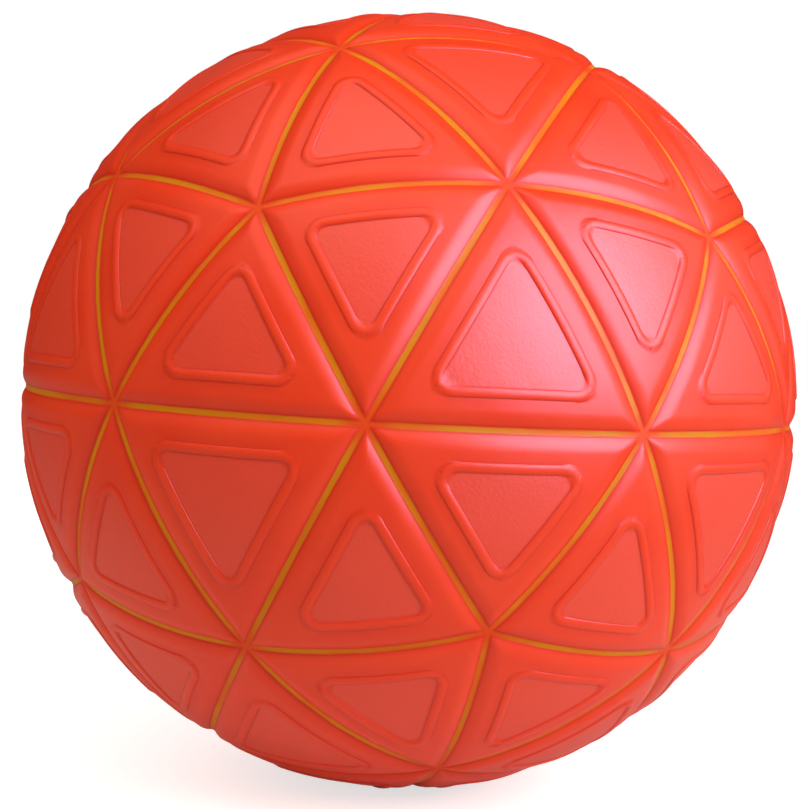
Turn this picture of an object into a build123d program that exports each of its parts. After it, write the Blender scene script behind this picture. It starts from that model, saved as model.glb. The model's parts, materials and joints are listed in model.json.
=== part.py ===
"""Inflatable rubber handball with triangular moulded cushions and painted grooves.

Lengths are in millimetres. The origin is the centre of the ball, +Z runs up through
a five-way junction of the grooves, and the XY plane is the parting plane of the cover.
"""

import os
from itertools import combinations
from math import atan, cos, degrees, pi, radians, sin, sqrt

from build123d import *

os.makedirs("parts", exist_ok=True)

# Driving dimensions of the ball
ball_circumference = 510.0
groove_depth = 1.4
channel_width = 1.2
shoulder_width = 3.9
shoulder_radius = 8.0
recess_margin = 6.3
recess_depth = 0.2
recess_wall_width = 1.1
recess_step = 0.05
recess_corner_radius = 1.8

# Driving dimensions of the layers
cover_floor_thickness = 1.9
carcass_thickness = 0.5
winding_thickness = 0.7
bladder_thickness = 0.8
bond_gap = 0.05
weld_depth = 0.2

# Driving dimensions of the paint lines
line_width = 1.0
line_thickness = 0.12
line_stop = 4.0

# Driving dimensions of the valve
needle_diameter = 2.1
needle_channel_depth = 14.0
core_diameter = 5.2
core_head_diameter = 6.6
core_head_height = 1.5
housing_diameter = 8.6
housing_length = 16.0
flange_diameter = 20.0
flange_thickness = 1.2
patch_diameter = 32.0
patch_thickness = 0.6

# Places of the pattern: angles in degrees, and the share of the radius that still counts as the equator
upper_ring_azimuth = 180.0
lower_ring_azimuth = 0.0
ring_step = 72.0
ring_elevation = degrees(atan(1 / 2))
equator_share = 0.01

# Radii from the crown of the cushions down to the inside of the bladder
ball_radius = ball_circumference / (2 * pi)
recess_floor_radius = ball_radius - recess_depth
groove_floor_radius = ball_radius - groove_depth
cover_inner_radius = groove_floor_radius - cover_floor_thickness
carcass_outer_radius = cover_inner_radius - bond_gap
carcass_inner_radius = carcass_outer_radius - carcass_thickness
winding_outer_radius = carcass_inner_radius - bond_gap
winding_inner_radius = winding_outer_radius - winding_thickness
bladder_outer_radius = winding_inner_radius - bond_gap
bladder_inner_radius = bladder_outer_radius - bladder_thickness
cut_overrun = groove_depth
blank_radius = ball_radius + cut_overrun
blank_width = 4 * blank_radius

# The round shoulder of a cushion, as points in a plane with its groove's axis: off that axis, then along it
channel_reach = channel_width / 2
shoulder_reach = channel_reach + shoulder_width
shoulder_foot = Vector(sqrt(groove_floor_radius**2 - channel_reach**2), channel_reach)
shoulder_head = Vector(sqrt(ball_radius**2 - shoulder_reach**2), shoulder_reach)
shoulder_chord = shoulder_head - shoulder_foot
shoulder_bulge = Vector(shoulder_chord.Y, -shoulder_chord.X).normalized()
shoulder_hollow = sqrt(shoulder_radius**2 - (shoulder_chord.length / 2) ** 2)
shoulder_centre = (shoulder_foot + shoulder_head) / 2 - shoulder_bulge * shoulder_hollow
shoulder_top = shoulder_centre + Vector(shoulder_radius, 0)
shoulder_low_radius = shoulder_foot.X - 2 * weld_depth
shoulder_low_drop = sqrt(shoulder_radius**2 - (shoulder_low_radius - shoulder_centre.X) ** 2)
shoulder_low = Vector(shoulder_low_radius, shoulder_centre.Y - shoulder_low_drop)
recess_wall_foot = recess_margin + recess_wall_width


def direction(azimuth, elevation):
    """Unit vector at an azimuth and an elevation in degrees."""
    level = cos(radians(elevation))
    across = level * cos(radians(azimuth))
    along = level * sin(radians(azimuth))
    return Vector(across, along, sin(radians(elevation)))


# The twelve five-way junctions: two poles and two rings of five
five_way = [direction(0, 90), direction(0, -90)]
for ring_index in range(5):
    turn = ring_index * ring_step
    five_way.append(direction(upper_ring_azimuth + turn, ring_elevation))
    five_way.append(direction(lower_ring_azimuth + turn, -ring_elevation))


def neighbours(first, second):
    """Whether two five-way junctions have a groove between them."""
    return first.get_angle(second) < 90


def between(first, second):
    """The six-way junction halfway along the groove of two five-way junctions."""
    return (first + second).normalized()


# The corners of the cushions: three at the junctions of each large triangle and one amid them
corner_cushions = []
middle_cushions = []
for large in combinations(five_way, 3):
    if all(neighbours(first, second) for first, second in combinations(large, 2)):
        for apex in large:
            others = [junction for junction in large if junction is not apex]
            corner_cushions.append([apex] + [between(apex, other) for other in others])
        middle_cushions.append([between(*pair) for pair in combinations(large, 2)])


def cushion_plane(corners):
    """Plane at the ball's centre, facing a cushion, with X towards its first corner."""
    first, second, third = corners
    facing = (second - first).cross(third - first).normalized()
    if facing.dot(first) < 0:
        facing = -facing
    return Plane((0, 0, 0), x_dir=first - facing * facing.dot(first), z_dir=facing)


def side_planes(corners):
    """The groove planes along the three sides of a cushion, facing into it."""
    planes = []
    for opposite in corners:
        first, second = [corner for corner in corners if corner is not opposite]
        facing = first.cross(second).normalized()
        if facing.dot(opposite) < 0:
            facing = -facing
        planes.append(Plane((0, 0, 0), x_dir=-(first + second), z_dir=facing))
    return planes


def recess_form(sides):
    """The sunk middle of a cushion, with rounded corners, as a solid to cut away."""
    with BuildPart() as recess:
        Sphere(blank_radius, rotation=(0, 90, 0))
        for side in sides:
            with Locations(side.offset(recess_wall_foot)):
                Box(
                    blank_width,
                    blank_width,
                    blank_width,
                    align=(Align.CENTER, Align.CENTER, Align.MIN),
                    mode=Mode.INTERSECT,
                )
        Sphere(recess_floor_radius, rotation=(0, 90, 0), mode=Mode.SUBTRACT)
        corner_edges = recess.edges().filter_by(GeomType.LINE)
        fillet(corner_edges, recess_corner_radius)
    return recess.part


def shoulder_form(side):
    """All that lies inward of one groove of a cushion, under its round shoulder."""
    with BuildPart() as shoulder:
        with BuildSketch(Plane((0, 0, 0), x_dir=side.x_dir, z_dir=-side.y_dir)):
            with BuildLine():
                ThreePointArc(shoulder_low, shoulder_foot, shoulder_top)
                Polyline(
                    shoulder_top,
                    (blank_radius, shoulder_top.Y),
                    (blank_radius, blank_radius),
                    (0, blank_radius),
                    (0, shoulder_low.Y),
                    shoulder_low,
                )
            make_face()
        revolve(axis=Axis((0, 0, 0), side.z_dir))
    return shoulder.part


def cushion_form(corners):
    """One cushion about +Z: round shoulders and a sunk middle."""
    sides = side_planes(corners)
    recess = recess_form(sides)

    def in_middle(edge):
        """Whether an edge lies inside the frame round the recess."""
        return all(side.to_local_coords(edge @ 0.5).Z > recess_margin for side in sides)

    with BuildPart() as cushion:
        for index, side in enumerate(sides):
            add(shoulder_form(side), mode=Mode.INTERSECT if index else Mode.ADD)
        Sphere(ball_radius, rotation=(0, 90, 0), mode=Mode.INTERSECT)
        Sphere(groove_floor_radius - weld_depth, rotation=(0, 90, 0), mode=Mode.SUBTRACT)
        add(recess, mode=Mode.SUBTRACT)
        crown = max(cushion.faces().filter_by(GeomType.SPHERE), key=lambda face: face.radius)
        rim = crown.edges().filter_by(in_middle)
        chamfer(rim, recess_wall_width, recess_depth - recess_step, reference=crown)
    return cushion.part


def form_of(cushions):
    """The form that all cushions of one kind share, about +Z."""
    model = cushions[0]
    return cushion_form([cushion_plane(model).to_local_coords(corner) for corner in model])


# Cover halves, which meet face to face on the parting plane
corner_form = form_of(corner_cushions)
middle_form = form_of(middle_cushions)
corner_places = [cushion_plane(corners) for corners in corner_cushions]
middle_places = [cushion_plane(corners) for corners in middle_cushions]

with BuildPart() as cover_upper_half:
    Sphere(groove_floor_radius, arc_size1=0, align=Align.NONE)
    Sphere(cover_inner_radius, arc_size1=0, align=Align.NONE, mode=Mode.SUBTRACT)
    with Locations(*[place for place in corner_places if place.z_dir.Z > 0]):
        add(corner_form)
    with Locations(*[place for place in middle_places if place.z_dir.Z > 0]):
        add(middle_form)

# The valve stands in the recess that faces furthest back in the lower half
valve_place = max((place for place in middle_places if place.z_dir.Z < 0), key=lambda place: place.z_dir.Y)
valve_axis = Axis((0, 0, 0), valve_place.z_dir)
valve_section = Plane((0, 0, 0), x_dir=valve_place.x_dir, z_dir=-valve_place.y_dir)
stem_hole_radius = housing_diameter / 2 + bond_gap

with BuildPart() as cover_lower_half:
    add(cover_upper_half.part.rotate(Axis.Y, 180))
    with Locations(valve_place):
        Cylinder(
            stem_hole_radius,
            blank_radius,
            align=(Align.CENTER, Align.CENTER, Align.MIN),
            mode=Mode.SUBTRACT,
        )


def height_on(radius, off_axis):
    """Height above the ball's centre of a sphere, at a distance off the valve axis."""
    return sqrt(radius**2 - off_axis**2)


def layer_form(outer_radius, inner_radius):
    """A closed round layer with a hole for the valve."""
    with BuildPart() as layer:
        with BuildSketch(valve_section):
            with BuildLine():
                top_outer = (stem_hole_radius, height_on(outer_radius, stem_hole_radius))
                top_inner = (stem_hole_radius, height_on(inner_radius, stem_hole_radius))
                Line(top_inner, top_outer)
                ThreePointArc(top_outer, (outer_radius, 0), (0, -outer_radius))
                Line((0, -outer_radius), (0, -inner_radius))
                ThreePointArc((0, -inner_radius), (inner_radius, 0), top_inner)
            make_face()
        revolve(axis=valve_axis)
    return layer.part


with BuildPart() as carcass:
    add(layer_form(carcass_outer_radius, carcass_inner_radius))

with BuildPart() as thread_winding:
    add(layer_form(winding_outer_radius, winding_inner_radius))

with BuildPart() as bladder:
    add(layer_form(bladder_outer_radius, bladder_inner_radius))

# Valve patch, bonded inside the bladder round the housing
patch_outer_radius = bladder_inner_radius - bond_gap
patch_inner_radius = patch_outer_radius - patch_thickness
patch_reach = patch_diameter / 2
patch_middle = (stem_hole_radius + patch_reach) / 2

with BuildPart() as valve_patch:
    with BuildSketch(valve_section):
        with BuildLine():
            edges_at = (stem_hole_radius, patch_middle, patch_reach)
            outer_arc = [(off_axis, height_on(patch_outer_radius, off_axis)) for off_axis in edges_at]
            inner_arc = [(off_axis, height_on(patch_inner_radius, off_axis)) for off_axis in edges_at]
            ThreePointArc(*outer_arc)
            Line(outer_arc[-1], inner_arc[-1])
            ThreePointArc(*inner_arc)
            Line(inner_arc[0], outer_arc[0])
        make_face()
    revolve(axis=valve_axis)

# Valve housing: a tube flush with the recess floor, with a flange under the patch
flange_outer_radius = patch_inner_radius - bond_gap
flange_inner_radius = flange_outer_radius - flange_thickness
flange_reach = flange_diameter / 2
housing_reach = housing_diameter / 2
flange_middle = (housing_reach + flange_reach) / 2
housing_top = height_on(recess_floor_radius, housing_reach)
housing_bottom = housing_top - housing_length
core_bore = core_diameter / 2 + bond_gap
head_bore = core_head_diameter / 2 + bond_gap
head_seat = housing_top - core_head_height - bond_gap

with BuildPart() as valve_housing:
    with BuildSketch(valve_section):
        with BuildLine():
            flange_at = (housing_reach, flange_middle, flange_reach)
            flange_top = [(off_axis, height_on(flange_outer_radius, off_axis)) for off_axis in flange_at]
            flange_under = [(off_axis, height_on(flange_inner_radius, off_axis)) for off_axis in flange_at]
            Polyline(
                flange_top[0],
                (housing_reach, housing_top),
                (head_bore, housing_top),
                (head_bore, head_seat),
                (core_bore, head_seat),
                (core_bore, housing_bottom),
                (housing_reach, housing_bottom),
                flange_under[0],
            )
            ThreePointArc(*flange_under)
            Line(flange_under[-1], flange_top[-1])
            ThreePointArc(*flange_top)
        make_face()
    revolve(axis=valve_axis)

# Valve core: a headed plug with a blind channel for the needle
core_head_foot = housing_top - core_head_height
needle_reach = needle_diameter / 2
needle_end = housing_top - needle_channel_depth

with BuildPart() as valve_core:
    with BuildSketch(valve_section):
        with BuildLine():
            Polyline(
                (needle_reach, housing_top),
                (core_head_diameter / 2, housing_top),
                (core_head_diameter / 2, core_head_foot),
                (core_diameter / 2, core_head_foot),
                (core_diameter / 2, housing_bottom),
                (0, housing_bottom),
                (0, needle_end),
                (needle_reach, needle_end),
                close=True,
            )
        make_face()
    revolve(axis=valve_axis)

# Paint lines, one to each stretch of channel between two junctions
line_inner_radius = groove_floor_radius + bond_gap
line_middle_radius = line_inner_radius + line_thickness / 2
line_stop_angle = degrees(line_stop / groove_floor_radius)

stretches = []
for first, second in combinations(five_way, 2):
    if neighbours(first, second):
        stretches.append((first, between(first, second)))
        stretches.append((second, between(first, second)))
for corners in middle_cushions:
    stretches.extend(combinations(corners, 2))


def line_form(first, second):
    """The paint line of one stretch of channel."""
    line_arc = first.get_angle(second) - 2 * line_stop_angle
    with BuildPart() as line:
        with BuildSketch(Plane.XZ):
            with Locations((line_middle_radius, 0)):
                Rectangle(line_thickness, line_width)
        revolve(axis=Axis.Z, revolution_arc=line_arc)
    along = Plane((0, 0, 0), x_dir=first + second, z_dir=first.cross(second))
    return along.location * line.part.rotate(Axis.Z, -line_arc / 2)


def lines_where(wanted):
    """The paint lines of all stretches whose middle is at a wanted height."""
    return [line_form(*ends) for ends in stretches if wanted((ends[0] + ends[1]).Z)]


with BuildPart() as lines_upper_half:
    add(lines_where(lambda height: height > equator_share))

with BuildPart() as lines_lower_half:
    add(lines_where(lambda height: height < -equator_share))

with BuildPart() as lines_equator:
    add(lines_where(lambda height: abs(height) < equator_share))

pieces = {
    "cover_upper_half": cover_upper_half,
    "cover_lower_half": cover_lower_half,
    "lines_upper_half": lines_upper_half,
    "lines_lower_half": lines_lower_half,
    "lines_equator": lines_equator,
    "carcass": carcass,
    "thread_winding": thread_winding,
    "bladder": bladder,
    "valve_patch": valve_patch,
    "valve_housing": valve_housing,
    "valve_core": valve_core,
}
for name, piece in pieces.items():
    piece.part.label = name
    export_step(piece.part, f"parts/{name}.step")
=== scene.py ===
"""Looks of a moulded rubber handball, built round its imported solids.

Lengths are in metres and angles in radians. The frame is the part's own: the origin is
the centre of the ball and +Z runs up through a five-way junction of the grooves.
"""

import json
import logging
from dataclasses import dataclass
from enum import Enum
from itertools import combinations
from math import atan, cos, pi, radians, sin, sqrt

import bpy
import numpy as np
from bpy.types import Material, Mesh, Node, NodeSocket, NodeTree, Object
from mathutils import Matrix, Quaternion, Vector


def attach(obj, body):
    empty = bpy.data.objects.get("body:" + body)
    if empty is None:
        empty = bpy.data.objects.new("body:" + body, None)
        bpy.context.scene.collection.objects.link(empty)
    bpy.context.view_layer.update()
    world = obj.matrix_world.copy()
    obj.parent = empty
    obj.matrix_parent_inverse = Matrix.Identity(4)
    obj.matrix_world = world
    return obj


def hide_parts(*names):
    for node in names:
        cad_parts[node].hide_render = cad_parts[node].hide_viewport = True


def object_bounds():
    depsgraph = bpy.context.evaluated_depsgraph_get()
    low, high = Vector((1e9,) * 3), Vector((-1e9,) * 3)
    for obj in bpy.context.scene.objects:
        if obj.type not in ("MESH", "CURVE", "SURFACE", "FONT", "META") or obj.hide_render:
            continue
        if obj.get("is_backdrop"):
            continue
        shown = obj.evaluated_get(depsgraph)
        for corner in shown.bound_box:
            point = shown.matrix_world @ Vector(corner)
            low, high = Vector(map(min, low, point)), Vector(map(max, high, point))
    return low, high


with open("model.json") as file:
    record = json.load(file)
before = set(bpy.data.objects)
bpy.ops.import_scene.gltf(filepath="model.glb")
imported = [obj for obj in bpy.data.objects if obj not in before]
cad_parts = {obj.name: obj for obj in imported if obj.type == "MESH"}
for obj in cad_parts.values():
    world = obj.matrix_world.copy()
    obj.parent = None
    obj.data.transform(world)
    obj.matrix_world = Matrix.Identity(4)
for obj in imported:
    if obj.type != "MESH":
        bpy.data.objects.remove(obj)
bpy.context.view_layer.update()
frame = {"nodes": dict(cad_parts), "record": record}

LOG = logging.getLogger("handball")

MILLIMETRE = 0.001
BALL_GIRTH = 510 * MILLIMETRE
BALL_RADIUS = BALL_GIRTH / (2 * pi)
IMAGE_SIZE_PX = 809


class Half(Enum):
    """The two halves of the moulded cover, by the side of the parting plane they lie on."""

    UPPER = 1
    LOWER = -1


def smooth_share(low: float, high: float, values: np.ndarray) -> np.ndarray:
    """Eases each value from a share of 0 at low to 1 at high."""
    share = np.clip((values - low) / (high - low), 0.0, 1.0)
    return share * share * (3.0 - 2.0 * share)


@dataclass(frozen=True)
class Gaps:
    """How far points of the cover lie from the grooves and junctions round them.

    Attributes:
        nearest: Distance to the nearest groove line.
        second: Distance to the second nearest groove line of the same cushion.
        third: Distance to the farthest groove line of the same cushion.
        corner_cosine: Cosine of the cushion's corner angle between the two nearest lines.
        junction: Distance to the nearest junction.
    """

    nearest: np.ndarray
    second: np.ndarray
    third: np.ndarray
    corner_cosine: np.ndarray
    junction: np.ndarray

    def side_share(self) -> np.ndarray:
        """Works out how far along its side of the cushion each point lies.

        Returns:
            The shares, 0 at the mitre line and a half in the middle of the side.
        """
        from_near_end = self.second - self.nearest
        from_far_end = self.third - self.nearest
        return from_near_end / (from_near_end + from_far_end)

    def rounded(self, corner_gap: float) -> np.ndarray:
        """Measures the distance to the grooves along contours whose corners are round.

        Args:
            corner_gap: Distance from both grooves to the point that the contours turn about.

        Returns:
            The rounded distance of each point.
        """
        first = self.nearest - corner_gap
        other = self.second - corner_gap
        cosine = self.corner_cosine
        square = (first**2 + other**2 + 2.0 * first * other * cosine) / (1.0 - cosine**2)
        in_corner = (other + first * cosine < 0.0) & (first + other * cosine < 0.0)
        return np.where(in_corner, corner_gap - np.sqrt(np.maximum(square, 0.0)), self.nearest)


@dataclass(frozen=True)
class GroovePattern:
    """The net of grooves: twelve five-way junctions and thirty six-way ones between them.

    Attributes:
        ball_radius: Radius over the crowns of the cushions.
        upper_ring_azimuth: Azimuth of the first junction of the upper ring of five.
        lower_ring_azimuth: Azimuth of the first junction of the lower ring of five.
        least_facing: Least cosine to a cushion's flat triangle that a point is measured at.
    """

    ball_radius: float = BALL_RADIUS
    upper_ring_azimuth: float = pi
    lower_ring_azimuth: float = 0.0
    least_facing: float = 1e-6

    def five_way(self) -> list[np.ndarray]:
        """Places the five-way junctions: one at each pole and five in each ring.

        Returns:
            Their directions from the ball's centre.
        """
        # Both rings of an icosahedron lie at this angle from its middle plane.
        elevation = atan(1 / 2)
        found = [np.array([0.0, 0.0, 1.0]), np.array([0.0, 0.0, -1.0])]
        for azimuth, side in ((self.upper_ring_azimuth, 1), (self.lower_ring_azimuth, -1)):
            for step in range(5):
                turn = azimuth + step * 2 * pi / 5
                level = cos(elevation)
                found.append(np.array([level * cos(turn), level * sin(turn), side * sin(elevation)]))
        return found

    def cushions(self) -> np.ndarray:
        """Divides each triangle of five-way junctions in four cushions.

        Returns:
            The directions of each cushion's three corners.
        """
        found = []
        for large in combinations(self.five_way(), 3):
            if min(first @ second for first, second in combinations(large, 2)) < 0.0:
                continue
            middles = [first + second for first, second in combinations(large, 2)]
            first_second, first_third, second_third = [
                middle / np.linalg.norm(middle) for middle in middles
            ]
            found.append([large[0], first_second, first_third])
            found.append([large[1], first_second, second_third])
            found.append([large[2], first_third, second_third])
            found.append([first_second, first_third, second_third])
        return np.array(found)

    def measure(self, points: np.ndarray) -> Gaps:
        """Measures points against the grooves of the cushion that each lies in.

        Args:
            points: Places on or near the cover, one row each.

        Returns:
            The distances, as lengths on the flat triangle under each cushion.
        """
        corners = self.cushions()
        facing = np.cross(corners[:, 1] - corners[:, 0], corners[:, 2] - corners[:, 0])
        facing /= np.linalg.norm(facing, axis=1, keepdims=True)
        facing *= np.sign(np.einsum("ck,ck->c", facing, corners[:, 0]))[:, None]
        starts = np.roll(corners, -1, axis=1)
        ends = np.roll(corners, -2, axis=1)
        inward = np.cross(facing[:, None], ends - starts)
        inward *= np.sign(np.einsum("csk,csk->cs", inward, corners - starts))[:, :, None]
        inward /= np.linalg.norm(inward, axis=2, keepdims=True)
        directions = points / np.linalg.norm(points, axis=1, keepdims=True)
        height = np.einsum("ck,ck->c", facing, corners[:, 0])
        reach = height / np.maximum(directions @ facing.T, self.least_facing)
        cushion = reach.argmin(axis=1)
        flat = directions * np.take_along_axis(reach, cushion[:, None], axis=1)
        own = np.einsum("psk,psk->ps", inward[cushion], flat[:, None] - starts[cushion])
        order = np.argsort(own, axis=1)
        lengths = self.ball_radius * np.clip(np.take_along_axis(own, order, axis=1), 0.0, None)
        nearest_way = inward[cushion, order[:, 0]]
        second_way = inward[cushion, order[:, 1]]
        cosine = -np.einsum("pk,pk->p", nearest_way, second_way)
        closest = (directions @ corners.reshape(-1, 3).T).max(axis=1)
        junction = self.ball_radius * np.arccos(np.clip(closest, -1.0, 1.0))
        return Gaps(*lengths.T, cosine, junction)


@dataclass(frozen=True)
class CushionProfile:
    """Section of a cushion, by distance from the middle of the groove.

    Attributes:
        groove_depth: Depth of the channel floor under the crown.
        channel_edge: Where the flat channel floor ends.
        shoulder_end: Where the rounded slope reaches the crown.
        shoulder_power: How strongly the slope rounds over; 1 is a straight bevel.
        bead_gap: Where the half-round bead round the sunk middle is highest.
        bead_reach: Half the width of the bead.
        bead_height: Height of the bead over the crown.
        recess_depth: Depth of the sunk middle under the crown.
        corner_gap: Distance from both grooves to the centre of the bead's corner rounding.
        crease_width: Width of the creases along the bead and the channel floor.
        channel_rings: Rings of points across half the channel floor.
        shoulder_rings: Rings across the slope.
        bead_rings: Rings across the bead.
        corner_rings: Rings from the bead's foot to the centre of its corner rounding.
    """

    groove_depth: float = 0.95 * MILLIMETRE
    channel_edge: float = 0.4 * MILLIMETRE
    shoulder_end: float = 3.5 * MILLIMETRE
    shoulder_power: float = 2.0
    bead_gap: float = 6.1 * MILLIMETRE
    bead_reach: float = 0.9 * MILLIMETRE
    bead_height: float = 0.28 * MILLIMETRE
    recess_depth: float = 0.08 * MILLIMETRE
    corner_gap: float = 8.5 * MILLIMETRE
    crease_width: float = 0.2 * MILLIMETRE
    channel_rings: int = 3
    shoulder_rings: int = 10
    bead_rings: int = 11
    corner_rings: int = 6

    def ring_steps(self) -> np.ndarray:
        """Works out the bands that a cushion's mesh is inset by.

        Returns:
            The widths of the bands, from the groove to the middle.
        """
        round_over = np.linspace(-pi / 2, pi / 2, self.bead_rings)
        bead_foot = self.bead_gap + self.bead_reach + self.crease_width
        rings = np.concatenate(
            [
                np.linspace(0.0, self.channel_edge, self.channel_rings),
                np.linspace(self.channel_edge, self.shoulder_end, self.shoulder_rings)[1:],
                [self.bead_gap - self.bead_reach - self.crease_width],
                self.bead_gap + self.bead_reach * np.sin(round_over),
                np.linspace(bead_foot, self.corner_gap, self.corner_rings),
            ]
        )
        return np.diff(rings)

    def floor_share(self, gaps: Gaps) -> np.ndarray:
        """Gives the share of sunk floor at each point: 1 inside the bead, 0 on it and outside it."""
        foot = self.bead_gap + self.bead_reach
        return smooth_share(foot - self.crease_width, foot, gaps.rounded(self.corner_gap))

    def crease_shade_share(self, gaps: Gaps) -> np.ndarray:
        """Finds the creases at the feet of the bead and at the edge of the channel floor, which get
        painted shade.

        Args:
            gaps: Distances of the points from the grooves.

        Returns:
            How much painted shade each point takes: 1 in a crease, toward 0 away from it.
        """
        off_bead = np.abs(gaps.rounded(self.corner_gap) - self.bead_gap) - self.bead_reach
        channel = (gaps.nearest - self.channel_edge - self.crease_width) / (2 * self.crease_width)
        return np.exp(-np.minimum((off_bead / self.crease_width) ** 2, channel**2))

    def drop(self, gaps: Gaps) -> np.ndarray:
        """Works out how deep each point lies under the crown.

        Args:
            gaps: Distances of the points from the grooves.

        Returns:
            The depths, less than 0 on the bead.
        """
        climb = (gaps.nearest - self.channel_edge) / (self.shoulder_end - self.channel_edge)
        slope = (1.0 - np.clip(climb, 0.0, 1.0)) ** self.shoulder_power
        off_crest = (gaps.rounded(self.corner_gap) - self.bead_gap) / self.bead_reach
        bead = np.sqrt(np.clip(1.0 - off_crest**2, 0.0, 1.0))
        sunk = smooth_share(0.0, 1.0, off_crest)
        return self.groove_depth * slope - self.bead_height * bead + self.recess_depth * sunk


def select_none() -> None:
    """Leaves nothing selected, so that the next operator acts on new work only."""
    bpy.ops.object.select_all(action="DESELECT")


def start_selecting(kind: str) -> None:
    """Leaves nothing of the active mesh selected, ready for faces or edges to be chosen in code.

    Args:
        kind: What is chosen next: VERT, EDGE or FACE.
    """
    bpy.ops.object.mode_set(mode="EDIT")
    bpy.ops.mesh.select_mode(type=kind)
    bpy.ops.mesh.select_all(action="DESELECT")
    bpy.ops.object.mode_set(mode="OBJECT")


def apply_modifier(piece: Object, kind: str, **settings: object) -> None:
    """Adds a modifier to a piece and applies it.

    Args:
        piece: Piece to change.
        kind: Blender's name of the modifier type.
        settings: Values to set on the modifier first.
    """
    modifier = piece.modifiers.new(kind.lower(), kind)
    for setting, value in settings.items():
        setattr(modifier, setting, value)
    bpy.context.view_layer.objects.active = piece
    bpy.ops.object.modifier_apply(modifier=modifier.name)


def points_of(mesh: Mesh) -> np.ndarray:
    """Reads the places of a mesh's vertices.

    Args:
        mesh: Mesh to read.

    Returns:
        The places, one row each.
    """
    flat = np.empty(len(mesh.vertices) * 3)
    mesh.vertices.foreach_get("co", flat)
    return flat.reshape(-1, 3)


def marks_of(mesh: Mesh, label: str) -> np.ndarray:
    """Reads values stored on a mesh.

    Args:
        mesh: Mesh to read.
        label: Name of the values.

    Returns:
        One value for each vertex.
    """
    values = np.empty(len(mesh.vertices))
    mesh.attributes[label].data.foreach_get("value", values)
    return values


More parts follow.
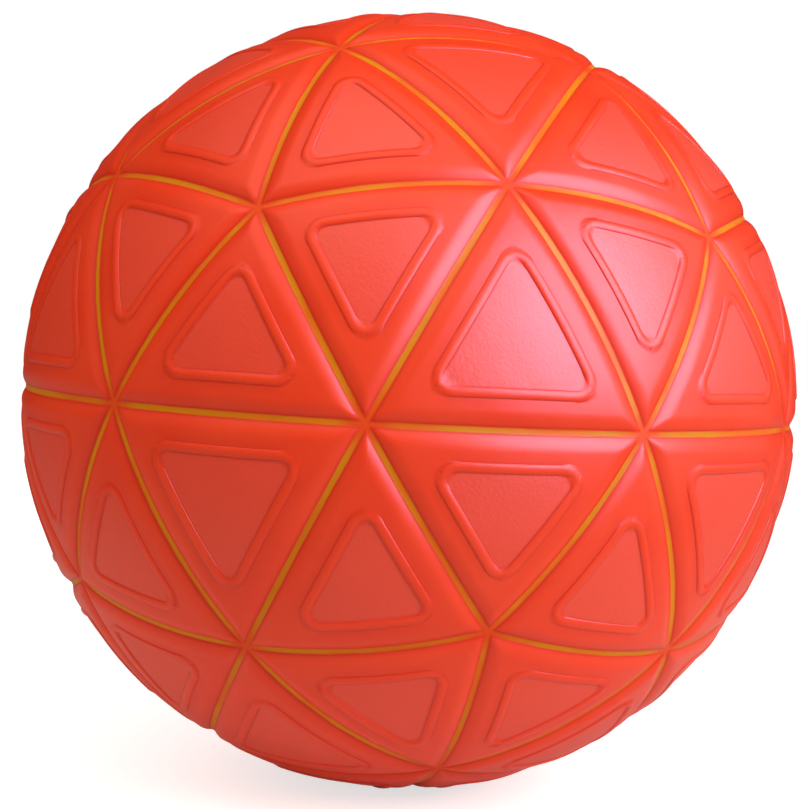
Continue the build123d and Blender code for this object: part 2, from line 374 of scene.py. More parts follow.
@dataclass
class CoverHalf:
    """One moulded half of the cover: forty cushions on a shell, closed inside.

    Attributes:
        name: Name of the piece.
        half: Side of the parting plane.
        pattern: The net of grooves.
        profile: Section of the cushions.
        shell_thickness: Thickness of the shell under the crowns.
        side_cuts: Cuts along each side of a cushion.
        corner_cuts: Further cuts in each of the pieces near a corner.
        corner_share: Share of a side, from each end, that gets the further cuts.
        dome_rings: Rings of faces on the inside of the shell.
        smooth_angle: Edges that turn by less than this are shaded smooth.
        skin_slack: How far under the channel floor a point still counts as skin.
        far_gap_mm: Groove distance written for points that aren't skin.
    """

    name: str
    half: Half
    pattern: GroovePattern = GroovePattern()
    profile: CushionProfile = CushionProfile()
    shell_thickness: float = 3.3 * MILLIMETRE
    side_cuts: int = 11
    corner_cuts: int = 2
    corner_share: float = 0.27
    dome_rings: int = 12
    smooth_angle: float = radians(50)
    skin_slack: float = 0.2 * MILLIMETRE
    far_gap_mm: float = 100.0

    def build(self) -> Object:
        """Models the half.

        Returns:
            The finished piece, without a material.
        """
        piece = self._start()
        self._inset_bands()
        self._cut_along_sides(piece)
        apply_modifier(piece, "CAST", cast_type="SPHERE", factor=1.0, size=self.pattern.ball_radius)
        self._press(piece.data)
        self._close_inside()
        return piece

    def _start(self) -> Object:
        """Adds the ball of eighty triangles and keeps the wanted half of it.

        Returns:
            The half ball, open at its rim and in edit mode.
        """
        select_none()
        bpy.ops.mesh.primitive_ico_sphere_add(
            subdivisions=2,
            radius=self.pattern.ball_radius,
            rotation=(0.0, 0.0, self.pattern.upper_ring_azimuth),
        )
        piece = bpy.context.object
        piece.name = self.name
        piece.data.name = self.name
        bpy.ops.object.transform_apply(location=True, rotation=True, scale=True)
        start_selecting("FACE")
        for face in piece.data.polygons:
            face.select = face.center.z * self.half.value < 0.0
        bpy.ops.object.mode_set(mode="EDIT")
        bpy.ops.mesh.delete(type="FACE")
        return piece

    def _inset_bands(self) -> None:
        """Insets every triangle band by band, from the groove to the sunk middle."""
        bpy.ops.mesh.select_all(action="SELECT")
        for step in self.profile.ring_steps():
            bpy.ops.mesh.inset(thickness=float(step), use_individual=True)

    def _cut_along_sides(self, piece: Object) -> None:
        """Divides the edges that run along the grooves, more finely toward the corners."""
        self._divide(piece, self.side_cuts)
        self._divide(piece, self.corner_cuts, self.corner_share)

    def _divide(self, piece: Object, cuts: int, share: float = 1.0) -> None:
        """Divides edges of the bands that run along a groove, and leaves those across it whole.

        Args:
            piece: The half under construction.
            cuts: Cuts in each edge.
            share: How far along a side, from its end, the edges are divided; 1 is all of it.
        """
        start_selecting("EDGE")
        mesh = piece.data
        gaps = self.pattern.measure(points_of(mesh))
        along = gaps.side_share()
        slack = float(self.profile.ring_steps().min()) / 2
        for edge in mesh.edges:
            start, end = edge.vertices
            is_level = abs(gaps.nearest[start] - gaps.nearest[end]) < slack
            is_in_band = gaps.nearest[start] < self.profile.corner_gap + slack
            is_near_end = max(along[start], along[end]) < share
            edge.select = bool(is_level and is_in_band and is_near_end)
        bpy.ops.object.mode_set(mode="EDIT")
        bpy.ops.mesh.subdivide(number_cuts=cuts)
        bpy.ops.object.mode_set(mode="OBJECT")

    def _press(self, mesh: Mesh) -> None:
        """Presses grooves and recesses into the round skin.

        Args:
            mesh: Mesh whose vertices all lie on the ball.
        """
        points = points_of(mesh)
        drop = self.profile.drop(self.pattern.measure(points))
        reach = np.linalg.norm(points, axis=1)
        pressed = points * ((self.pattern.ball_radius - drop) / reach)[:, None]
        mesh.vertices.foreach_set("co", pressed.ravel())
        mesh.update()

    def _close_inside(self) -> None:
        """Turns the open edge inwards and carries it up the inside of the shell to a pole."""
        bpy.ops.object.mode_set(mode="EDIT")
        bpy.ops.mesh.select_mode(type="VERT")
        bpy.ops.mesh.select_all(action="DESELECT")
        bpy.ops.mesh.select_non_manifold()
        rim_radius = self.pattern.ball_radius - self.profile.groove_depth
        inner_radius = self.pattern.ball_radius - self.shell_thickness
        self._extrude_ring(inner_radius / rim_radius, 0.0)
        for ring in range(self.dome_rings - 1):
            low = ring / self.dome_rings * pi / 2
            high = (ring + 1) / self.dome_rings * pi / 2
            rise = inner_radius * (sin(high) - sin(low))
            self._extrude_ring(cos(high) / cos(low), rise * self.half.value)
        bpy.ops.mesh.extrude_region_move()
        bpy.ops.mesh.merge(type="CENTER")
        bpy.ops.mesh.select_all(action="SELECT")
        bpy.ops.mesh.normals_make_consistent(inside=False)
        bpy.ops.object.mode_set(mode="OBJECT")
        bpy.ops.object.shade_smooth_by_angle(angle=self.smooth_angle)

    @staticmethod
    def _extrude_ring(scale: float, rise: float) -> None:
        """Extrudes the selected ring of edges, narrows it about the ball's axis and lifts it.

        Args:
            scale: Change of the ring's radius.
            rise: Change of its height.
        """
        bpy.ops.mesh.extrude_region_move()
        bpy.ops.transform.resize(value=(scale, scale, 1.0), center_override=(0.0, 0.0, 0.0))
        bpy.ops.transform.translate(value=(0.0, 0.0, rise))

    def mark(self, piece: Object) -> None:
        """Writes what the finish needs to know of each point: its groove, junction, recess and painted
        crease shade.

        Args:
            piece: The finished half.
        """
        mesh = piece.data
        points = points_of(mesh)
        gaps = self.pattern.measure(points)
        floor_radius = self.pattern.ball_radius - self.profile.groove_depth
        outside = np.linalg.norm(points, axis=1) > floor_radius - self.skin_slack
        values = {
            "groove_gap": np.where(outside, gaps.nearest / MILLIMETRE, self.far_gap_mm),
            "junction_gap": gaps.junction / MILLIMETRE,
            "floor_share": np.where(outside, self.profile.floor_share(gaps), 0.0),
            # Share of painted shade, darkest in the creases at the bead's feet and the channel floor's
            # edge.
            "crease_shade_share": np.where(outside, self.profile.crease_shade_share(gaps), 0.0),
        }
        for label, value in values.items():
            attribute = mesh.attributes.new(label, "FLOAT", "POINT")
            attribute.data.foreach_set("value", value)


def valve_direction() -> Vector:
    """Finds the valve's mount in the frame.

    Returns:
        The direction in which the valve looks out of the ball.
    """
    for mount in frame["record"]["mounts"]:
        if mount["kind"] == "bore":
            return Vector(mount["axis"]).normalized()
    raise ValueError("the frame has no bore")


@dataclass(frozen=True)
class ValveHole:
    """The round hole in the cover for the valve housing.

    Attributes:
        radius: Radius of the hole.
        sides: Sides of the round cutter.
        cutter_length_share: Length of the cutter, in ball radii.
    """

    radius: float = 4.35 * MILLIMETRE
    sides: int = 64
    cutter_length_share: float = 0.5

    def cut(self, cover: Object) -> None:
        """Cuts the hole.

        Args:
            cover: The cover half that holds the valve.
        """
        direction = valve_direction()
        select_none()
        bpy.ops.mesh.primitive_cylinder_add(
            vertices=self.sides,
            radius=self.radius,
            depth=self.cutter_length_share * BALL_RADIUS,
            location=direction * BALL_RADIUS,
            rotation=direction.to_track_quat("Z", "Y").to_euler(),
        )
        cutter = bpy.context.object
        apply_modifier(cover, "BOOLEAN", operation="DIFFERENCE", solver="EXACT", object=cutter)
        bpy.data.objects.remove(cutter)


Colour = tuple[float, float, float]
Direction = tuple[float, float, float]
Span = tuple[float, float]
Given = NodeSocket | float | Colour

WHITE: Colour = (1.0, 1.0, 1.0)
NONE_TO_ALL_SHARES: Span = (0.0, 1.0)


def node(tree: NodeTree, kind: str, **settings: object) -> Node:
    """Adds a shader node.

    Args:
        tree: Tree to add it to.
        kind: Blender's type name of the node, without its prefix.
        settings: Properties of the node, and values of its inputs by index as in_0, in_1.

    Returns:
        The new node.
    """
    added = tree.nodes.new("ShaderNode" + kind)
    for setting, value in settings.items():
        if setting.startswith("in_"):
            added.inputs[int(setting.removeprefix("in_"))].default_value = value
        else:
            setattr(added, setting, value)
    return added


class MouldedGrain:
    """Fine skin of moulded rubber, as a node group that materials share.

    Attributes:
        NAME: Name of the group.
        CLOUDS_PER_METRE: How close the wide clouds lie.
        NOISE_LAYERS: Layers of finer noise in clouds and skin.
        SKIN_FINENESS: How strong those layers are in the skin.
        CLOUD_FINENESS: How strong they are in the clouds.
        PEBBLE_SHARE: Weight of the pebbles beside the fine noise of the skin.
    """

    NAME = "moulded_grain"
    CLOUDS_PER_METRE = 45.0
    NOISE_LAYERS = 3.0
    SKIN_FINENESS = 0.6
    CLOUD_FINENESS = 0.55
    PEBBLE_SHARE = 0.5

    @classmethod
    def group(cls) -> NodeTree:
        """Builds the group the first time that it is asked for.

        Returns:
            The group.
        """
        if cls.NAME in bpy.data.node_groups:
            return bpy.data.node_groups[cls.NAME]
        tree = bpy.data.node_groups.new(cls.NAME, "ShaderNodeTree")
        tree.interface.new_socket("Vector", in_out="INPUT", socket_type="NodeSocketVector")
        for label, way in (("Scale", "INPUT"), ("Height", "OUTPUT"), ("Cloud", "OUTPUT")):
            tree.interface.new_socket(label, in_out=way, socket_type="NodeSocketFloat")
        given = tree.nodes.new("NodeGroupInput")
        result = tree.nodes.new("NodeGroupOutput")
        pebble = node(tree, "TexVoronoi", feature="SMOOTH_F1")
        fine = node(tree, "TexNoise", in_3=cls.NOISE_LAYERS, in_4=cls.SKIN_FINENESS)
        wide = node(tree, "TexNoise", in_3=cls.NOISE_LAYERS, in_4=cls.CLOUD_FINENESS)
        wide.inputs["Scale"].default_value = cls.CLOUDS_PER_METRE
        both = node(tree, "Math", operation="MULTIPLY_ADD", in_1=cls.PEBBLE_SHARE)
        for texture in (pebble, fine, wide):
            tree.links.new(given.outputs["Vector"], texture.inputs["Vector"])
        for texture in (pebble, fine):
            tree.links.new(given.outputs["Scale"], texture.inputs["Scale"])
        tree.links.new(pebble.outputs["Distance"], both.inputs[0])
        tree.links.new(fine.outputs[0], both.inputs[2])
        tree.links.new(both.outputs[0], result.inputs["Height"])
        tree.links.new(wide.outputs[0], result.inputs["Cloud"])
        return tree


@dataclass
class MaterialSheet:
    """A material under construction, with its shader and object coordinates at hand.

    Attributes:
        material: The material.
    """

    material: Material

    @classmethod
    def start(cls, name: str) -> "MaterialSheet":
        """Makes a material with nothing in it but its shader.

        Args:
            name: Name of the material.

        Returns:
            The sheet to build it on.
        """
        material = bpy.data.materials.new(name)
        material.use_nodes = True
        return cls(material)

    @property
    def tree(self) -> NodeTree:
        """Gives the material's node tree."""
        return self.material.node_tree

    @property
    def shader(self) -> Node:
        """Gives the material's Principled shader."""
        return self.tree.nodes["Principled BSDF"]

    def feed(self, target: NodeSocket, given: Given) -> None:
        """Gives an input a number or a colour of its own, or joins it to a socket.

        Args:
            target: The input.
            given: Number, colour or socket.
        """
        if isinstance(given, NodeSocket):
            self.tree.links.new(given, target)
        elif isinstance(given, tuple):
            target.default_value = (*given, 1.0)
        else:
            target.default_value = given

    def give(self, label: str, given: Given) -> None:
        """Feeds the shader's input of that label."""
        self.feed(self.shader.inputs[label], given)

    def coordinates(self) -> NodeSocket:
        """Adds the piece's own coordinates and gives their socket."""
        return node(self.tree, "TexCoord").outputs["Object"]

    def attribute(self, label: str) -> NodeSocket:
        """Adds a value that is stored on the mesh under that label and gives its socket."""
        return node(self.tree, "Attribute", attribute_name=label).outputs["Fac"]

    def grain(self, scale: float) -> Node:
        """Places the shared grain group.

        Args:
            scale: Grains per metre.

        Returns:
            The group node.
        """
        placed = node(self.tree, "Group", node_tree=MouldedGrain.group())
        self.feed(placed.inputs["Scale"], scale)
        self.feed(placed.inputs["Vector"], self.coordinates())
        return placed

    def noise(self, scale: float) -> NodeSocket:
        """Adds plain noise.

        Args:
            scale: Swells per metre.

        Returns:
            The socket with it, about 0 to 1.
        """
        texture = node(self.tree, "TexNoise", in_2=scale)
        self.feed(texture.inputs["Vector"], self.coordinates())
        return texture.outputs[0]

    def maths(self, operation: str, first: Given, second: Given) -> NodeSocket:
        """Joins two values or sockets by a sum.

        Args:
            operation: Blender's name of the sum.
            first: First value or socket.
            second: Second value or socket.

        Returns:
            The socket with the result.
        """
        made = node(self.tree, "Math", operation=operation)
        self.feed(made.inputs[0], first)
        self.feed(made.inputs[1], second)
        return made.outputs[0]

    def span(self, value: NodeSocket, source: Span, target: Span) -> NodeSocket:
        """Eases a value from one span to another.

        Args:
            value: Socket to ease.
            source: Start and end of the span it comes from.
            target: Start and end of the span it goes to.

        Returns:
            The socket with the result.
        """
        made = node(self.tree, "MapRange", interpolation_type="SMOOTHSTEP")
        made.inputs["From Min"].default_value, made.inputs["From Max"].default_value = source
        made.inputs["To Min"].default_value, made.inputs["To Max"].default_value = target
        self.feed(made.inputs["Value"], value)
        return made.outputs[0]

    def blend(self, share: NodeSocket, first: Given, second: Given) -> NodeSocket:
        """Mixes two colours.

        Args:
            share: Socket with the share of the second.
            first: First colour or socket.
            second: Second colour or socket.

        Returns:
            The socket with the mixed colour.
        """
        made = node(self.tree, "Mix", data_type="RGBA")
        self.feed(made.inputs[0], share)
        self.feed(made.inputs[6], first)
        self.feed(made.inputs[7], second)
        return made.outputs[2]

    def bump(self, height: NodeSocket, depth: float) -> None:
        """Gives the shader a relief.

        Args:
            height: Socket with the height, about 0 to 1.
            depth: Depth of the relief in metres.
        """
        made = node(self.tree, "Bump")
        self.feed(made.inputs["Distance"], depth)
        self.feed(made.inputs["Height"], height)
        self.give("Normal", made.outputs["Normal"])


@dataclass(frozen=True)
class Sheen:
    """How a stretch of the cover shines.

    Attributes:
        name: Name of its material.
        level: Strength of the sheen.
        least_roughness: Roughness where it is smoothest.
    """

    name: str
    level: float
    least_roughness: float


class Zone(Enum):
    """The stretches of the cover that shine differently, in the order of their material slots."""

    FRAME = Sheen("cover_rubber", level=0.30, least_roughness=0.32)
    FLOOR = Sheen("cushion_floor", level=0.50, least_roughness=0.40)
    PAINT = Sheen("groove_paint", level=0.14, least_roughness=0.42)


@dataclass(frozen=True)
class PaintLine:
    """Paint along the bottom of a groove. Its lengths are in millimetres, as the mesh's marks are.

    Attributes:
        colour: Colour of the paint.
        half_width: Half width of the line.
        wander: How far its edge wanders.
        softness: How soft its edge is.
        reach: How far from the groove's middle paint may lie.
        wanders_per_metre: How closely the edge wanders.
        junction_span: Distances from a junction at which the paint begins and is full.
        junction_shares: Shares of paint at those distances.
        ragged_reach: How far the end of the paint by a junction wanders.
        rags_per_metre: How closely it wanders there.
        wears_per_metre: How closely worn stretches follow each other.
        wear_span: Values of their noise where the paint is most worn and where it is whole.
        wear_shares: Shares of paint at those values.
    """

    colour: Colour = (0.63, 0.225, 0.001)
    half_width: float = 0.50
    wander: float = 0.26
    softness: float = 0.14
    reach: float = 0.8
    wanders_per_metre: float = 240.0
    junction_span: Span = (2.5, 9.0)
    junction_shares: Span = (0.15, 0.95)
    ragged_reach: float = 4.0
    rags_per_metre: float = 320.0
    wears_per_metre: float = 60.0
    wear_span: Span = (0.38, 0.58)
    wear_shares: Span = (0.55, 1.0)

    def share(self, sheet: MaterialSheet) -> NodeSocket:
        """Spreads the paint: along the channel, wandering at its edge, worn and thin by a junction.

        Args:
            sheet: Material of a marked mesh.

        Returns:
            The socket with the share of paint.
        """
        wander = sheet.maths("MULTIPLY", sheet.noise(self.wanders_per_metre), self.wander)
        gap = sheet.maths("ADD", sheet.attribute("groove_gap"), wander)
        edge = self.half_width + self.wander / 2
        line = sheet.span(gap, (edge + self.softness, edge - self.softness), NONE_TO_ALL_SHARES)
        ragged = sheet.maths("MULTIPLY", sheet.noise(self.rags_per_metre), self.ragged_reach)
        reach = sheet.maths("ADD", sheet.attribute("junction_gap"), ragged)
        full = sheet.span(reach, self.junction_span, self.junction_shares)
        worn = sheet.span(sheet.noise(self.wears_per_metre), self.wear_span, self.wear_shares)
        return sheet.maths("MULTIPLY", sheet.maths("MULTIPLY", line, full), worn)


@dataclass(frozen=True)
class SkinRelief:
    """Fine relief of the moulded skin.

    Attributes:
        depth: Depth of a relief of height 1.
        pebble_level: Height of the grain that counts as level.
        pebble_span: Shares of sunk floor between which the grain grows stronger.
        pebble_shares: Strength of the grain at those shares.
        waves_per_metre: How close the shallow waves lie.
        wave_share: Height of the waves.
        film_share: Height of the film of paint.
    """

    depth: float = 0.12 * MILLIMETRE
    pebble_level: float = 0.75
    pebble_span: Span = (0.2, 1.0)
    pebble_shares: Span = (0.10, 0.40)
    waves_per_metre: float = 150.0
    wave_share: float = 0.8
    film_share: float = 0.4

    def apply(self, sheet: MaterialSheet, skin_height: NodeSocket, paint: NodeSocket) -> None:
        """Gives a material pebble grain, strongest in the sunk middles, and the film of paint.

        Args:
            sheet: Material of a marked mesh.
            skin_height: Socket with the height of the grain.
            paint: Socket with the share of paint.
        """
        strength = sheet.span(sheet.attribute("floor_share"), self.pebble_span, self.pebble_shares)
        level = sheet.maths("SUBTRACT", skin_height, self.pebble_level)
        pebbles = sheet.maths("MULTIPLY", level, strength)
        waves = sheet.maths("MULTIPLY", sheet.noise(self.waves_per_metre), self.wave_share)
        film = sheet.maths("MULTIPLY", paint, self.film_share)
        sheet.bump(sheet.maths("ADD", sheet.maths("ADD", pebbles, waves), film), self.depth)


@dataclass(frozen=True)
class CoverFinish:
    """Red moulded rubber with paint in its grooves.

    Attributes:
        red: Colour of the frames of the cushions.
        pale_red: Colour of the clouded stretches.
        floor_red: Colour of the grained sunk middles.
        crease_shade_red: Painted shade in the creases, a deeper red.
        crease_shade_share: How much of that painted shade a crease takes on.
        grains_per_metre: How close the grains of the skin lie.
        cloud_span: Values of the clouds' noise between which the colour changes.
        uneven_roughness: How much rougher the clouded stretches are.
        least_floor_share: Share of sunk floor from which a face counts as floor.
        paint: The paint in the grooves.
        relief: The fine relief.
    """

    red: Colour = (0.80, 0.041, 0.006)
    pale_red: Colour = (0.82, 0.052, 0.010)
    floor_red: Colour = (0.78, 0.050, 0.013)
    # Painted shade: creases take on a darker red, standing in for the shade that falls in them.
    crease_shade_red: Colour = (0.56, 0.012, 0.002)
    crease_shade_share: float = 0.5
    grains_per_metre: float = 1700.0
    cloud_span: Span = (0.3, 0.7)
    uneven_roughness: float = 0.12
    least_floor_share: float = 0.5
    paint: PaintLine = PaintLine()
    relief: SkinRelief = SkinRelief()

    def material(self, sheen: Sheen) -> Material:
        """Builds the material of one stretch of the cover.

        Args:
            sheen: How that stretch shines.

        Returns:
            The material, which reads the marks of the cover's mesh.
        """
        sheet = MaterialSheet.start(sheen.name)
        grain = sheet.grain(self.grains_per_metre)
        clouds = grain.outputs["Cloud"]
        paint = self.paint.share(sheet)
        sheet.give("Base Color", sheet.blend(paint, self._rubber(sheet, clouds), self.paint.colour))
        uneven = sheet.maths("MULTIPLY", clouds, self.uneven_roughness)
        sheet.give("Roughness", sheet.maths("ADD", uneven, sheen.least_roughness))
        sheet.give("Specular IOR Level", sheen.level)
        self.relief.apply(sheet, grain.outputs["Height"], paint)
        return sheet.material

    def _rubber(self, sheet: MaterialSheet, clouds: NodeSocket) -> NodeSocket:
        """Mixes the reds of frame, clouds and sunk middle, and paints shade into the creases.

        Args:
            sheet: Material of a marked mesh.
            clouds: Socket with the clouds' noise.

        Returns:
            The socket with the colour of the bare rubber, with painted shade in its creases.
        """
        cloud = sheet.span(clouds, self.cloud_span, NONE_TO_ALL_SHARES)
        skin = sheet.blend(cloud, self.red, self.pale_red)
        moulded = sheet.blend(sheet.attribute("floor_share"), skin, self.floor_red)
        # Painted shade: the creases are darkened toward the deeper red.
        crease_shade = sheet.maths("MULTIPLY", sheet.attribute("crease_shade_share"), self.crease_shade_share)
        return sheet.blend(crease_shade, moulded, self.crease_shade_red)


@dataclass(frozen=True)
class PlainRubber:
    """Unpainted rubber of the inner pieces and the valve.

    Attributes:
        name: Name of the material.
        colour: Its colour.
        dusted: Colour where talc or dust clings.
        least_roughness: Roughness where it is smoothest.
        uneven_roughness: How much rougher the clouded stretches are.
        cloud_span: Values of the clouds' noise between which the roughness changes.
        dust_span: Values of that noise between which dust gathers.
        dust_shares: Shares of dust at those values.
        grains_per_metre: How close its grains lie.
        relief_depth: Depth of the grain.
    """

    name: str
    colour: Colour
    dusted: Colour
    least_roughness: float
    uneven_roughness: float = 0.15
    cloud_span: Span = (0.3, 0.7)
    dust_span: Span = (0.45, 0.75)
    dust_shares: Span = (0.0, 0.6)
    grains_per_metre: float = 3400.0
    relief_depth: float = 0.05 * MILLIMETRE

    def material(self) -> Material:
        """Builds the material.

        Returns:
            The material.
        """
        sheet = MaterialSheet.start(self.name)
        grain = sheet.grain(self.grains_per_metre)
        clouds = grain.outputs["Cloud"]
        dust = sheet.span(clouds, self.dust_span, self.dust_shares)
        sheet.give("Base Color", sheet.blend(dust, self.colour, self.dusted))
        most_roughness = self.least_roughness + self.uneven_roughness
        rough = sheet.span(clouds, self.cloud_span, (self.least_roughness, most_roughness))
        sheet.give("Roughness", rough)
        sheet.bump(grain.outputs["Height"], self.relief_depth)
        return sheet.material


@dataclass(frozen=True)
class WoundThread:
    """Nylon thread wound round the ball every way and set in rubber.

    Attributes:
        thread: Colour of the thread.
        shade: Colour between the threads.
        threads_per_metre: How close the turns lie.
        layer_turns: How far each layer of thread is turned against the frame.
        waviness: How far the threads stray from straight.
        roughness: Roughness of the thread.
        relief_depth: Depth between the threads.
    """

    thread: Colour = (0.70, 0.67, 0.60)
    shade: Colour = (0.20, 0.18, 0.15)
    threads_per_metre: float = 420.0
    layer_turns: tuple[float, ...] = (radians(18), radians(75), radians(132))
    waviness: float = 2.0
    roughness: float = 0.7
    relief_depth: float = 0.2 * MILLIMETRE

    def material(self) -> Material:
        """Builds the material.

        Returns:
            The material.
        """
        sheet = MaterialSheet.start("thread_winding")
        weave = 0.0
        for turn in self.layer_turns:
            mapping = node(sheet.tree, "Mapping")
            mapping.inputs["Rotation"].default_value = (turn, turn / 2, turn)
            sheet.feed(mapping.inputs["Vector"], sheet.coordinates())
            bands = node(sheet.tree, "TexWave", in_1=self.threads_per_metre, in_2=self.waviness)
            sheet.feed(bands.inputs["Vector"], mapping.outputs[0])
            weave = sheet.maths("MAXIMUM", weave, bands.outputs[1])
        sheet.give("Base Color", sheet.blend(weave, self.shade, self.thread))
        sheet.give("Roughness", self.roughness)
        sheet.bump(weave, self.relief_depth)
        return sheet.material


@dataclass
class Cover:
    """The moulded cover of two halves with its painted grooves.

    Attributes:
        finish: Finish of both halves.
    """

    finish: CoverFinish = CoverFinish()

    def build(self) -> list[Object]:
        """Models both halves, cuts the valve hole and marks them for their finish.

        Returns:
            The upper and the lower half.
        """
        upper = CoverHalf("moulded_cover_upper", Half.UPPER)
        lower = CoverHalf("moulded_cover_lower", Half.LOWER)
        pieces = [upper.build(), lower.build()]
        ValveHole().cut(pieces[1])
        upper.mark(pieces[0])
        lower.mark(pieces[1])
        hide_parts("cover_upper_half", "lines_upper_half", "lines_equator")
        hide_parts("cover_lower_half", "lines_lower_half")
        return pieces

    def dress(self, pieces: list[Object]) -> None:
        """Gives both halves the same finish.

        Args:
            pieces: The halves.
        """
        materials = [self.finish.material(zone.value) for zone in Zone]
        for piece in pieces:
            piece.data.materials.clear()
            for material in materials:
                piece.data.materials.append(material)
            self._sort_faces(piece.data)
            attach(piece, "root")

    def _sort_faces(self, mesh: Mesh) -> None:
        """Gives the faces of the channels and of the sunk middles their own materials.

        Args:
            mesh: Marked mesh of a half.
        """
        groove_gap = marks_of(mesh, "groove_gap")
        floor_share = marks_of(mesh, "floor_share")
        zones = list(Zone)
        for face in mesh.polygons:
            corners = list(face.vertices)
            zone = Zone.FRAME
            if groove_gap[corners].max() < self.finish.paint.reach:
                zone = Zone.PAINT
            elif floor_share[corners].min() > self.finish.least_floor_share:
                zone = Zone.FLOOR
            face.material_index = zones.index(zone)


TALC: Colour = (0.16, 0.155, 0.15)
DUST: Colour = (0.05, 0.045, 0.04)


@dataclass(frozen=True)
class InnerBall:
    """The layers under the cover and the valve, which keep their solids.

    Attributes:
        carcass: Finish of the carcass.
        winding: Finish of the thread winding.
        bladder: Finish of the bladder.
        valve: Finish of the valve and its patch.
    """

    carcass: PlainRubber = PlainRubber("carcass_rubber", (0.03, 0.028, 0.026), TALC, least_roughness=0.55)
    winding: WoundThread = WoundThread()
    bladder: PlainRubber = PlainRubber("bladder_rubber", (0.022, 0.022, 0.024), TALC, least_roughness=0.4)
    valve: PlainRubber = PlainRubber("valve_rubber", (0.018, 0.018, 0.018), DUST, least_roughness=0.42)

    def dress(self) -> list[Object]:
        """Gives each inner solid its finish.

        Returns:
            The dressed solids.
        """
        valve = self.valve.material()
        finishes = {
            "carcass": self.carcass.material(),
            "thread_winding": self.winding.material(),
            "bladder": self.bladder.material(),
            "valve_patch": valve,
            "valve_housing": valve,
            "valve_core": valve,
        }
        dressed = []
        for name, material in finishes.items():
            solid = frame["nodes"][name]
            solid.data.materials.clear()
            solid.data.materials.append(material)
            dressed.append(solid)
        return dressed


class Duty(Enum):
    """What a lamp does: it lights surfaces, shows in their sheen, or does both."""

    LIGHT = "light"
    SHEEN = "sheen"
    BOTH = "both"


@dataclass(frozen=True)
class Lamp:
    """A square studio lamp.

    Attributes:
        name: Name of the lamp.
        duty: What it does.
        place: Its direction from the ball: to the camera's right, up and toward the camera.
        colour: Its colour.
        distance_share: Its distance from the ball's centre, in ball radii.
        size_share: Its width, in ball radii.
        brightness: How bright a white sheet at the ball's place looks that faces a lamp of this power.
    """

    name: str
    duty: Duty
    place: Direction
    colour: Colour
    distance_share: float
    size_share: float
    brightness: float


PALE_WARM: Colour = (1.0, 0.95, 0.95)
WARM: Colour = (1.0, 0.92, 0.84)
AMBER: Colour = (1.0, 0.94, 0.86)
ROSE: Colour = (1.0, 0.95, 0.98)
COOL: Colour = (0.80, 0.77, 1.24)

KEY_PLACE: Direction = (0.66, 0.40, 0.64)
TOP_PLACE: Direction = (-0.20, 0.90, 0.42)
SIDE_PLACE: Direction = (0.92, 0.38, 0.06)
FILL_PLACE: Direction = (-0.80, 0.42, 0.43)
BACK_PLACE: Direction = (-0.10, 0.34, -0.93)

STUDIO_LAMPS = (
    Lamp("key", Duty.LIGHT, KEY_PLACE, PALE_WARM, distance_share=7.0, size_share=3.2, brightness=0.76),
    Lamp("sheen", Duty.SHEEN, KEY_PLACE, COOL, distance_share=7.0, size_share=5.6, brightness=2.90),
    Lamp("top", Duty.BOTH, TOP_PLACE, WARM, distance_share=8.0, size_share=7.5, brightness=0.52),
    Lamp("side", Duty.BOTH, SIDE_PLACE, ROSE, distance_share=8.0, size_share=9.0, brightness=0.37),
    Lamp("fill", Duty.LIGHT, FILL_PLACE, AMBER, distance_share=9.0, size_share=9.0, brightness=0.41),
    Lamp("back", Duty.LIGHT, BACK_PLACE, PALE_WARM, distance_share=9.0, size_share=9.0, brightness=0.40),
)


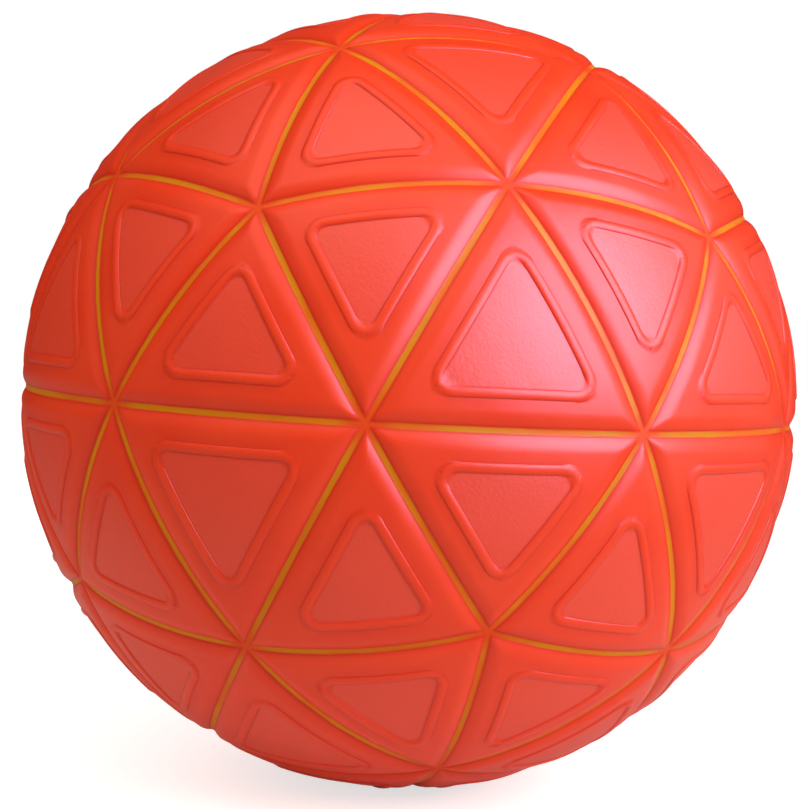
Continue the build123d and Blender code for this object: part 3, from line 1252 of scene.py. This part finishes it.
@dataclass
class Studio:
    """Floor, light and camera.

    Attributes:
        camera_azimuth: Azimuth of the camera about the ball.
        camera_elevation: Its elevation.
        camera_roll: How far the ball leans to the right in the picture.
        camera_distance_share: Distance from the ball's centre, in ball radii.
        outline_radius_px: Radius of the ball's outline in the picture.
        centre_px: Centre of that outline, from the picture's top left corner.
        sensor_width_mm: Width of the camera's sensor.
        room_light: Brightness of the room all round.
        sheen_share: Share of the white background that dull sheen mirrors.
        floor_colour: Colour of the floor by the ball.
        far_floor_colour: Colour of the floor away from the ball.
        near_glow_share: Share of the floor's white by the ball that no shadow takes.
        shadow_reach_share: Where the shadow has faded, in ball radii from the ball's centre.
        floor_width_share: Width of the floor, in ball radii.
        floor_roughness: Roughness of the floor.
        nearest_seen_share: Nearest distance that the camera sees, in ball radii.
        lamps: The lamps.
    """

    camera_azimuth: float = radians(-85.0)
    camera_elevation: float = radians(3.1)
    camera_roll: float = radians(3.05)
    camera_distance_share: float = 4.5
    outline_radius_px: float = 387.4
    centre_px: tuple[float, float] = (408.2, 400.6)
    sensor_width_mm: float = 36.0
    room_light: float = 0.13
    sheen_share: float = 0.03
    floor_colour: Colour = (0.76, 0.74, 0.70)
    far_floor_colour: Colour = (0.30, 0.30, 0.30)
    near_glow_share: float = 0.68
    shadow_reach_share: float = 3.6
    floor_width_share: float = 60.0
    floor_roughness: float = 0.9
    nearest_seen_share: float = 0.1
    lamps: tuple[Lamp, ...] = STUDIO_LAMPS

    def build(self) -> None:
        """Sets up the plain view, the background, the floor, the light and the camera."""
        bpy.context.scene.view_settings.view_transform = "Standard"
        self._background()
        self._floor()
        for lamp in self.lamps:
            self._hang(lamp)
        self._camera()

    def _camera_axes(self) -> tuple[Vector, Vector, Vector]:
        """Works out the camera's own directions, without its roll.

        Returns:
            The directions from the ball to the camera, to its right and up.
        """
        azimuth = self.camera_azimuth
        level = cos(self.camera_elevation)
        toward = Vector((level * cos(azimuth), level * sin(azimuth), sin(self.camera_elevation)))
        right = Vector((0.0, 0.0, 1.0)).cross(toward).normalized()
        return toward, right, toward.cross(right)

    def _camera(self) -> None:
        """Places the camera so that the ball's outline fills the picture as photographed."""
        toward, _, _ = self._camera_axes()
        sight = bpy.data.cameras.new("camera")
        outline_slope = 1.0 / sqrt(self.camera_distance_share**2 - 1.0)
        sight.sensor_width = self.sensor_width_mm
        sight.lens = self.outline_radius_px / outline_slope / IMAGE_SIZE_PX * self.sensor_width_mm
        sight.shift_x = (IMAGE_SIZE_PX / 2 - self.centre_px[0]) / IMAGE_SIZE_PX
        sight.shift_y = (self.centre_px[1] - IMAGE_SIZE_PX / 2) / IMAGE_SIZE_PX
        sight.clip_start = self.nearest_seen_share * BALL_RADIUS
        camera = bpy.data.objects.new("camera", sight)
        bpy.context.scene.collection.objects.link(camera)
        camera.location = toward * (self.camera_distance_share * BALL_RADIUS)
        camera.rotation_mode = "QUATERNION"
        aim = (-toward).to_track_quat("-Z", "Y")
        camera.rotation_quaternion = aim @ Quaternion((0.0, 0.0, 1.0), self.camera_roll)
        bpy.context.scene.camera = camera

    def _seen_share(self, tree: NodeTree) -> NodeSocket:
        """Works out how much of a white background each kind of ray sees.

        Args:
            tree: Node tree of the world or of the floor.

        Returns:
            The socket with the share of white.
        """
        path = node(tree, "LightPath")
        seen = node(tree, "Math", operation="MULTIPLY_ADD", in_1=self.sheen_share)
        either = node(tree, "Math", operation="ADD")
        tree.links.new(path.outputs["Is Camera Ray"], either.inputs[0])
        tree.links.new(path.outputs["Is Transmission Ray"], either.inputs[1])
        tree.links.new(path.outputs["Is Glossy Ray"], seen.inputs[0])
        tree.links.new(either.outputs[0], seen.inputs[2])
        return seen.outputs[0]

    def _background(self) -> None:
        """Lights the room dimly from all round, and shows it to the camera as white."""
        world = bpy.data.worlds.new("studio")
        bpy.context.scene.world = world
        world.use_nodes = True
        tree = world.node_tree
        glow = tree.nodes["Background"]
        strength = node(tree, "Math", operation="MULTIPLY_ADD", in_1=self.room_light)
        tree.links.new(node(tree, "LightPath").outputs["Is Diffuse Ray"], strength.inputs[0])
        tree.links.new(self._seen_share(tree), strength.inputs[2])
        tree.links.new(strength.outputs[0], glow.inputs["Strength"])
        glow.inputs["Color"].default_value = (*WHITE, 1.0)

    def _floor(self) -> None:
        """Lays a pale floor under the ball, which keeps the ball's shadow."""
        select_none()
        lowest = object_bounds()[0][2]
        width = self.floor_width_share * BALL_RADIUS
        bpy.ops.mesh.primitive_plane_add(size=width, location=(0.0, 0.0, lowest))
        floor = bpy.context.object
        floor.name = "floor"
        sheet = MaterialSheet.start("pale_floor")
        away = node(sheet.tree, "VectorMath", operation="LENGTH")
        sheet.feed(away.inputs[0], sheet.coordinates())
        reach = (BALL_RADIUS, self.shadow_reach_share * BALL_RADIUS)
        far_share = sheet.span(away.outputs["Value"], reach, NONE_TO_ALL_SHARES)
        glow = sheet.span(far_share, NONE_TO_ALL_SHARES, (self.near_glow_share, 1.0))
        sheet.give("Base Color", sheet.blend(far_share, self.floor_colour, self.far_floor_colour))
        sheet.give("Roughness", self.floor_roughness)
        sheet.give("Specular IOR Level", 0.0)
        sheet.give("Emission Color", WHITE)
        sheet.give("Emission Strength", sheet.maths("MULTIPLY", self._seen_share(sheet.tree), glow))
        floor.data.materials.append(sheet.material)
        floor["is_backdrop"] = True

    def _hang(self, lamp: Lamp) -> None:
        """Adds one square lamp that faces the ball.

        Args:
            lamp: What to hang, and where.
        """
        toward, right, up = self._camera_axes()
        direction = (right * lamp.place[0] + up * lamp.place[1] + toward * lamp.place[2]).normalized()
        distance = lamp.distance_share * BALL_RADIUS
        light = bpy.data.lights.new(lamp.name, "AREA")
        light.shape = "SQUARE"
        light.size = lamp.size_share * BALL_RADIUS
        # This power gives the asked brightness for a lamp that is small beside its distance.
        light.energy = lamp.brightness * pi**2 * distance**2
        light.color = lamp.colour
        holder = bpy.data.objects.new(lamp.name, light)
        bpy.context.scene.collection.objects.link(holder)
        holder.location = direction * distance
        holder.rotation_euler = (-direction).to_track_quat("-Z", "Y").to_euler()
        holder.visible_diffuse = lamp.duty is not Duty.SHEEN
        holder.visible_glossy = lamp.duty is not Duty.LIGHT


def main() -> None:
    """Builds the ball and its studio, and reports each piece."""
    logging.basicConfig(level=logging.INFO, format="%(message)s")
    cover = Cover()
    halves = cover.build()
    cover.dress(halves)
    for piece in halves:
        LOG.info("%s: %d faces", piece.name, len(piece.data.polygons))
    for solid in InnerBall().dress():
        LOG.info("%s dressed", solid.name)
    Studio().build()


if __name__ == "__main__":
    main()
